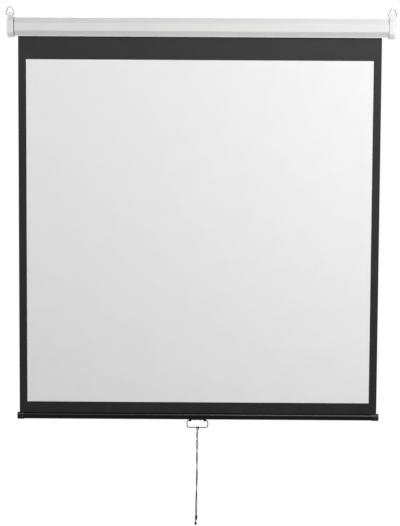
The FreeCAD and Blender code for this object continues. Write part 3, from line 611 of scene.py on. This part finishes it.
def cut_away(made, cutter):
    """Takes the cutter's shape out of a piece, and removes the cutter."""
    cut = made.modifiers.new("cut", "BOOLEAN")
    cut.operation = "DIFFERENCE"
    cut.solver = "EXACT"
    cut.object = cutter
    result = made.evaluated_get(bpy.context.evaluated_depsgraph_get())
    mesh = bpy.data.meshes.new_from_object(result)
    made.modifiers.remove(cut)
    made.data = mesh
    bpy.data.objects.remove(cutter)


screws_low, screws_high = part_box("cap_screws")
reach_x, reach_y = screws_high.x - SCREW_HEAD_R, screws_high.y - SCREW_HEAD_R
SCREW_PLACES = [Vector((x, y)) for x in (-reach_x, reach_x) for y in (-reach_y, reach_y)]
SCREW_PROFILE = [
    (SCREW_R, screws_low.z),
    (SCREW_R, screws_high.z - SCREW_HEAD_R + SCREW_R),
    (SCREW_HEAD_R - SCREW_RIM, screws_high.z - SCREW_RIM),
    (SCREW_HEAD_R - 2 * SCREW_RIM, screws_high.z),
]
screw_bodies = joined([turned_mesh(SCREW_PROFILE, spot, SCREW_SIDES) for spot in SCREW_PLACES])
screw_cuts = joined([
    cross_mesh(spot, screws_high.z, turn) for spot, turn in zip(SCREW_PLACES, RECESS_TURNS)
])
screws = piece("cross_screws", *screw_bodies, [STEEL])
cut_away(screws, piece("recess_cutter", *screw_cuts, [STEEL]))
screws.data.set_sharp_from_angle(angle=SCREW_SHARP)
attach(screws, "housing")
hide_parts("cap_screws")


# Cloth

def cloth_strip(name, path, x_lines, lift, materials, choose):
    """Closed thin sheet: a line in the YZ plane drawn along X, given thickness. lift moves a point
    along Y, and choose gives the material of a face from its middle and its side."""
    path = np.array(path, float)
    tangents = np.gradient(path, axis=0)
    tangents /= np.linalg.norm(tangents, axis=1)[:, None]
    normals = np.column_stack([tangents[:, 1], -tangents[:, 0]])
    run = np.concatenate([[0], np.cumsum(np.linalg.norm(np.diff(path, axis=0), axis=1))])
    rows, columns = len(path), len(x_lines)
    vertices = []
    for side in (0.5, -0.5):
        for (y, z), (ny, nz) in zip(path, normals):
            for x in x_lines:
                off = side * CLOTH_THICK
                vertices.append((x, y + lift(x, z) + ny * off, z + nz * off))
    layer = rows * columns
    faces, slots = [], []
    for i in range(rows - 1):
        for j in range(columns - 1):
            a, b = i * columns + j, i * columns + j + 1
            c, d = b + columns, a + columns
            middle = ((x_lines[j] + x_lines[j + 1]) / 2, (path[i][1] + path[i + 1][1]) / 2)
            faces += [(a, d, c, b), (a + layer, b + layer, c + layer, d + layer)]
            slots += [choose(*middle, True), choose(*middle, False)]
    rim = [i * columns for i in range(rows)]
    rim += [(rows - 1) * columns + j for j in range(1, columns)]
    rim += [i * columns + columns - 1 for i in range(rows - 2, -1, -1)]
    rim += list(range(columns - 2, 0, -1))
    for a, b in zip(rim, rim[1:] + rim[:1]):
        faces.append((a, a + layer, b + layer, b))
        slots.append(choose(x_lines[0], path[0][1], False))
    made = piece(name, vertices, faces, materials)
    made.data.set_sharp_from_angle(angle=CLOTH_SHARP)
    made.data.polygons.foreach_set("material_index", slots)
    uv = made.data.uv_layers.new(name="UVMap")
    for loop in made.data.loops:
        row, column = divmod(loop.vertex_index % layer, columns)
        uv.data[loop.index].uv = (x_lines[column], run[row])
    return made


fabric_low, fabric_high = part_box("screen_fabric")
hem_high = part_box("fabric_hem")[1]
rod_low, rod_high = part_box("hem_rod")
tube_low, tube_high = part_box("roller_tube")
casing_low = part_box("casing_shell")[0]
FABRIC_Y = (fabric_low.y + fabric_high.y) / 2
WHITE_LEFT = fabric_low.x + SIDE_BORDER
WHITE_RIGHT = fabric_high.x - SIDE_BORDER
WHITE_TOP = casing_low.z - TOP_DROP
WHITE_BOTTOM = fabric_low.z + PRINT_LAP
X_LINES = steps_between([fabric_low.x, WHITE_LEFT, WHITE_RIGHT, fabric_high.x], CLOTH_STEP)


def smoothstep(low, high, value):
    t = min(1, max(0, (value - low) / (high - low)))
    return t * t * (3 - 2 * t)


def sheet_lift(x, z):
    """How far the hanging sheet stands forward of flat: slight bellies, and side edges that curl
    a little."""
    share = (x - fabric_low.x) / (fabric_high.x - fabric_low.x)
    held = smoothstep(fabric_low.z, fabric_low.z + FLAT_AT_BAR, z)
    held *= 1 - smoothstep(casing_low.z - FLAT_FROM, casing_low.z - FLAT_TO, z)
    belly_at = Vector((BELLY_SCALE_X * x, 0.0, BELLY_SCALE_Z * z))
    belly = BELLY * (0.5 + 0.5 * noise.noise(belly_at))
    near_edge = min(x - fabric_low.x, fabric_high.x - x) / CURL_REACH
    curl_at = Vector((round(share), CURL_SEED, CURL_SCALE * z))
    wander = max(0.0, CURL_MEAN + CURL_VARIES * noise.noise(curl_at))
    return -held * (belly + EDGE_CURL * wander * math.exp(-near_edge * near_edge))


def print_of(x, z, front):
    """White picture area on the front, black everywhere else."""
    white = front and WHITE_LEFT < x < WHITE_RIGHT and WHITE_BOTTOM < z < WHITE_TOP
    return 0 if white else 1


sheet_rows = steps_between([fabric_high.z, WHITE_TOP, WHITE_BOTTOM, fabric_low.z], CLOTH_STEP)
screen = cloth_strip(
    "screen_sheet", [(FABRIC_Y, z) for z in sheet_rows], X_LINES, sheet_lift,
    [WHITE_CLOTH, BLACK_CLOTH], print_of,
)
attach(screen, "housing")
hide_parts("screen_fabric")
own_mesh(screen)


def flat_lift(x, z):
    return 0.0


def all_black(x, z, front):
    return 0


def hem_path():
    """Down from the sheet, round the hem rod, and up again behind as a welded flap."""
    rod_y, rod_z = (rod_low.y + rod_high.y) / 2, (rod_low.z + rod_high.z) / 2
    radius = rod_y - FABRIC_Y
    down = [(FABRIC_Y, z) for z in steps_between([hem_high.z, rod_z], HEM_STEP)]
    loop = []
    for n in range(1, HEM_STEPS + 1):
        angle = math.pi + HEM_WRAP * n / HEM_STEPS
        loop.append((rod_y + radius * math.cos(angle), rod_z + radius * math.sin(angle)))
    behind = FABRIC_Y + HEM_BEHIND * CLOTH_THICK
    start = loop[-1][1] + HEM_START * CLOTH_THICK
    flap = [(behind, z) for z in steps_between([start, start + HEM_FLAP], HEM_STEP)]
    return down + loop + flap


hem_line = hem_path()
border = cloth_strip("lower_border", hem_line, X_LINES, flat_lift, [BLACK_CLOTH], all_black)
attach(border, "bottom_bar")
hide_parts("fabric_hem")


def roll_path():
    """Turns of cloth that stay on the roller, from its surface to the hanging sheet's top."""
    axis_y, axis_z = (tube_low.y + tube_high.y) / 2, (tube_low.z + tube_high.z) / 2
    outer = axis_y - FABRIC_Y
    points = []
    for n in range(ROLL_STEPS + 1):
        angle = math.tau * ROLL_TURNS * n / ROLL_STEPS
        radius = outer - ROLL_PITCH * (ROLL_TURNS - angle / math.tau)
        points.append((axis_y - radius * math.cos(angle), axis_z - radius * math.sin(angle)))
    return points


roll_line = roll_path()
roll_x_lines = steps_between([fabric_low.x, fabric_high.x], ROLL_STEP_X)
roll = cloth_strip("roll_cloth", roll_line, roll_x_lines, flat_lift, [BLACK_CLOTH], all_black)
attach(roll, "roller")
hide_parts("fabric_roll")


# Pull cord

bail_low, bail_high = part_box("handle_bail")
HANDLE_WIRE = bail_high.y - bail_low.y
HITCH = np.array((
    (bail_low.x + bail_high.x) / 2 + HITCH_OFFSET,
    (bail_low.y + bail_high.y) / 2,
    bail_low.z + HANDLE_WIRE / 2,
))
HITCH_R = HANDLE_WIRE / 2 + HITCH_CLEAR + CORD_D / 2


def round_wire(side, degrees, reach=HITCH_R):
    """Point of the hitch's turn round the handle's wire, from the front over the top."""
    angle = math.radians(degrees)
    return HITCH + np.array((side * HITCH_HALF, -reach * math.cos(angle), reach * math.sin(angle)))


def strand_controls(side):
    """Route of one strand, from the hitch to the knot."""
    angle = math.radians(HITCH_EXIT_ANGLE)
    start = round_wire(side, -HITCH_EXIT_ANGLE)
    controls = [start, start + np.array((0, math.sin(angle), -math.cos(angle))) * HITCH_EXIT_RUN]
    for fall, middle, across, back in CORD_ROUTE:
        controls.append(HITCH + np.array((middle + side * across, side * back, -fall)))
    return controls


def hitch_controls():
    """The cord's fold: over the wire on the left, down behind it, and back over on the right."""
    out = HITCH_R / math.cos(math.radians(HITCH_STEP / 2))
    low, high = -HITCH_EXIT_ANGLE, 180.0
    count = round((high - low) / HITCH_STEP)
    turns = [low + (high - low) * (n + 0.5) / count for n in range(count)]
    left = [round_wire(-1, low)] + [round_wire(-1, t, out) for t in turns]
    right = [round_wire(1, low)] + [round_wire(1, t, out) for t in turns]
    fold = []
    count = round(180 / HITCH_STEP)
    for n in range(count):
        angle = math.pi * (n + 0.5) / count
        fold.append(HITCH + np.array((
            -HITCH_HALF * math.cos(angle), HITCH_R, -HITCH_HALF * math.sin(angle)
        )))
    return left + fold + right[::-1]


def knot_controls(side):
    """One strand's turns in the knot: out round the barrel, and in again at its lower end."""
    top = HITCH + np.array((KNOT_X, 0, -KNOT_DROP))
    start_angle = KNOT_START_ANGLE + (math.pi if side < 0 else 0)
    controls = []
    for n in range(KNOT_STEPS + 1):
        share = n / KNOT_STEPS
        swell_at = min(1, KNOT_SWELL_START + (1 - KNOT_SWELL_START) * share)
        swell = math.sin(math.pi * swell_at) ** KNOT_SWELL_POWER
        radius = KNOT_CORE_R + KNOT_SWELL * swell
        angle = start_angle + math.tau * KNOT_TURNS * share
        fall = KNOT_LENGTH * share + KNOT_WAVE * math.sin(KNOT_WAVES * angle)
        controls.append(top + np.array((
            radius * math.cos(angle), radius * math.sin(angle), -fall
        )))
    return controls


def cord_tip():
    """Teardrop below the knot: both cut ends drawn together on a short neck, with yarn grooves."""
    neck = HITCH + np.array((END_X, 0, -KNOT_DROP - KNOT_LENGTH))
    profile = [(0.0, END_NECK_R), (END_NECK, END_NECK_R)]
    for n in range(1, END_STEPS + 1):
        share = n / END_STEPS
        radius = END_NECK_R + (END_R - END_NECK_R) * smoothstep(0, END_WIDEST, share)
        if share > END_ROUND_FROM:
            past = (share - END_ROUND_FROM) / (1 - END_ROUND_FROM)
            narrow = math.sqrt(max(0.0, 1 - past * past))
            radius *= narrow * (1 - END_TIP_SHARE) + END_TIP_SHARE
        profile.append((END_NECK + END_LENGTH * share, radius))
    sides, vertices, faces = END_SIDES, [], []
    for fall, radius in profile:
        for j in range(sides):
            angle = math.tau * j / sides + fall / END_LENGTH * END_TWIST
            groove = 1 + END_GROOVE_SHARE * math.cos(END_GROOVES * math.tau * j / sides)
            vertices.append(neck + np.array((
                radius * groove * math.cos(angle), radius * groove * math.sin(angle), -fall
            )))
    for i in range(len(profile) - 1):
        for j in range(sides):
            k = (j + 1) % sides
            faces.append((i * sides + k, i * sides + j, (i + 1) * sides + j, (i + 1) * sides + k))
    last = (len(profile) - 1) * sides
    faces += [tuple(range(sides)), tuple(range(last, last + sides))[::-1]]
    made = piece("cord_tip", vertices, faces, [CORD_YARN])
    layer = made.data.uv_layers.new(name="UVMap")
    for loop in made.data.loops:
        ring, side = divmod(loop.vertex_index, sides)
        layer.data[loop.index].uv = (profile[ring][0], side / sides * math.tau * END_R)
    return made


hitch_line = evenly(spline_points("hitch_line", hitch_controls()), BRAID_RING)
hitch = braided_tube("cord_hitch", hitch_line, CORD_D)
knot_pieces = []
for side, word in ((-1, "left"), (1, "right")):
    line = evenly(spline_points("knot_line", knot_controls(side)), BRAID_RING)
    knot_pieces.append(braided_tube("cord_knot_" + word, line, CORD_D))
tip = cord_tip()
for made in [hitch, *knot_pieces, tip]:
    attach(made, "pull_cord")
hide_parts("cord_knot")
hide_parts("cord_end")
STRANDS = [(-1, "left", [hitch, knot_pieces[0], tip]), (1, "right", [knot_pieces[1]])]
for side, word, extras in STRANDS:
    line = evenly(spline_points("strand_line", strand_controls(side)), BRAID_RING)
    strand = braided_tube("cord_strand_" + word, line, CORD_D)
    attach(strand, "pull_cord")
    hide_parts("pull_cord")


# Stage

def rays_to_background(tree):
    """1 for rays that look straight at the background or see it in gloss or glass, else 0."""
    rays = add(tree, "ShaderNodeLightPath")
    total = rays.outputs["Is Camera Ray"]
    for kind in ("Is Glossy Ray", "Is Transmission Ray"):
        made = add(tree, "ShaderNodeMath", operation="MAXIMUM")
        tree.links.new(total, made.inputs[0])
        tree.links.new(rays.outputs[kind], made.inputs[1])
        total = made.outputs["Value"]
    return total


def make_world(ambient):
    world = bpy.data.worlds.new("studio")
    world.use_nodes = True
    bpy.context.scene.world = world
    tree = world.node_tree
    shader = tree.nodes["Background"]
    shader.inputs["Color"].default_value = (1, 1, 1, 1)
    strength = range_of(tree, rays_to_background(tree), ambient, 1.0)
    tree.links.new(strength, shader.inputs["Strength"])


def make_floor(height, radius):
    """Pale round floor below the hanging screen. It looks white, and keeps a faint shadow."""
    made, tree, shader = material("floor_paint", (FLOOR_PAINT,) * 3, 0.9)
    shader.inputs["Specular IOR Level"].default_value = 0.0
    glow = add(tree, "ShaderNodeEmission")
    mix = add(tree, "ShaderNodeMixShader")
    share = add(tree, "ShaderNodeMath", operation="MULTIPLY")
    tree.links.new(rays_to_background(tree), share.inputs[0])
    share.inputs[1].default_value = FLOOR_GLOW_SHARE
    tree.links.new(share.outputs["Value"], mix.inputs["Fac"])
    tree.links.new(shader.outputs["BSDF"], mix.inputs[1])
    tree.links.new(glow.outputs["Emission"], mix.inputs[2])
    glow.inputs["Strength"].default_value = FLOOR_GLOW
    tree.links.new(mix.outputs["Shader"], tree.nodes["Material Output"].inputs["Surface"])
    angles = [math.tau * n / FLOOR_SIDES for n in range(FLOOR_SIDES)]
    rim = [(radius * math.cos(a), radius * math.sin(a), height) for a in angles]
    floor = piece("floor", rim, [tuple(range(FLOOR_SIDES))], [made], smooth=False)


def softbox(name, at, towards, width, height, watts):
    """Soft rectangular lamp that the camera doesn't see."""
    light = bpy.data.lights.new(name, "AREA")
    light.shape = "RECTANGLE"
    light.size, light.size_y = width, height
    light.energy = watts
    lamp = bpy.data.objects.new(name, light)
    lamp.location = at
    lamp.rotation_euler = (Vector(towards) - Vector(at)).to_track_quat("-Z", "Y").to_euler()
    lamp.visible_camera = False
    bpy.context.scene.collection.objects.link(lamp)
    return lamp


def make_camera():
    camera = bpy.data.cameras.new("camera")
    camera.sensor_width = SENSOR_MM
    camera.lens = FOCAL_PX * SENSOR_MM / IMAGE_HEIGHT_PX
    camera.clip_end = CAMERA_REACH
    holder = bpy.data.objects.new("camera", camera)
    turn = Matrix.Rotation(math.radians(-CAMERA_YAW), 4, "Z")
    turn @= Matrix.Rotation(math.radians(90 - CAMERA_PITCH), 4, "X")
    turn @= Matrix.Rotation(math.radians(-CAMERA_ROLL), 4, "Z")
    holder.matrix_world = Matrix.Translation(CAMERA_AT) @ turn
    bpy.context.scene.collection.objects.link(holder)
    bpy.context.scene.camera = holder


make_camera()
make_world(AMBIENT)
make_floor(cad_low.z - FLOOR_DROP, FLOOR_RADIUS)
softbox("left_lamp", *LEFT_LAMP)
softbox("right_lamp", *RIGHT_LAMP)
softbox("back_lamp", *BACK_LAMP)
softbox("top_lamp", *TOP_LAMP)
for n, lamp in enumerate(SIDE_LAMPS):
    softbox(f"side_lamp_{n}", *lamp)
for n, lamp in enumerate(GLINT_LAMPS):
    softbox(f"glint_lamp_{n}", *lamp).visible_diffuse = False
bpy.context.scene.view_settings.view_transform = "Standard"
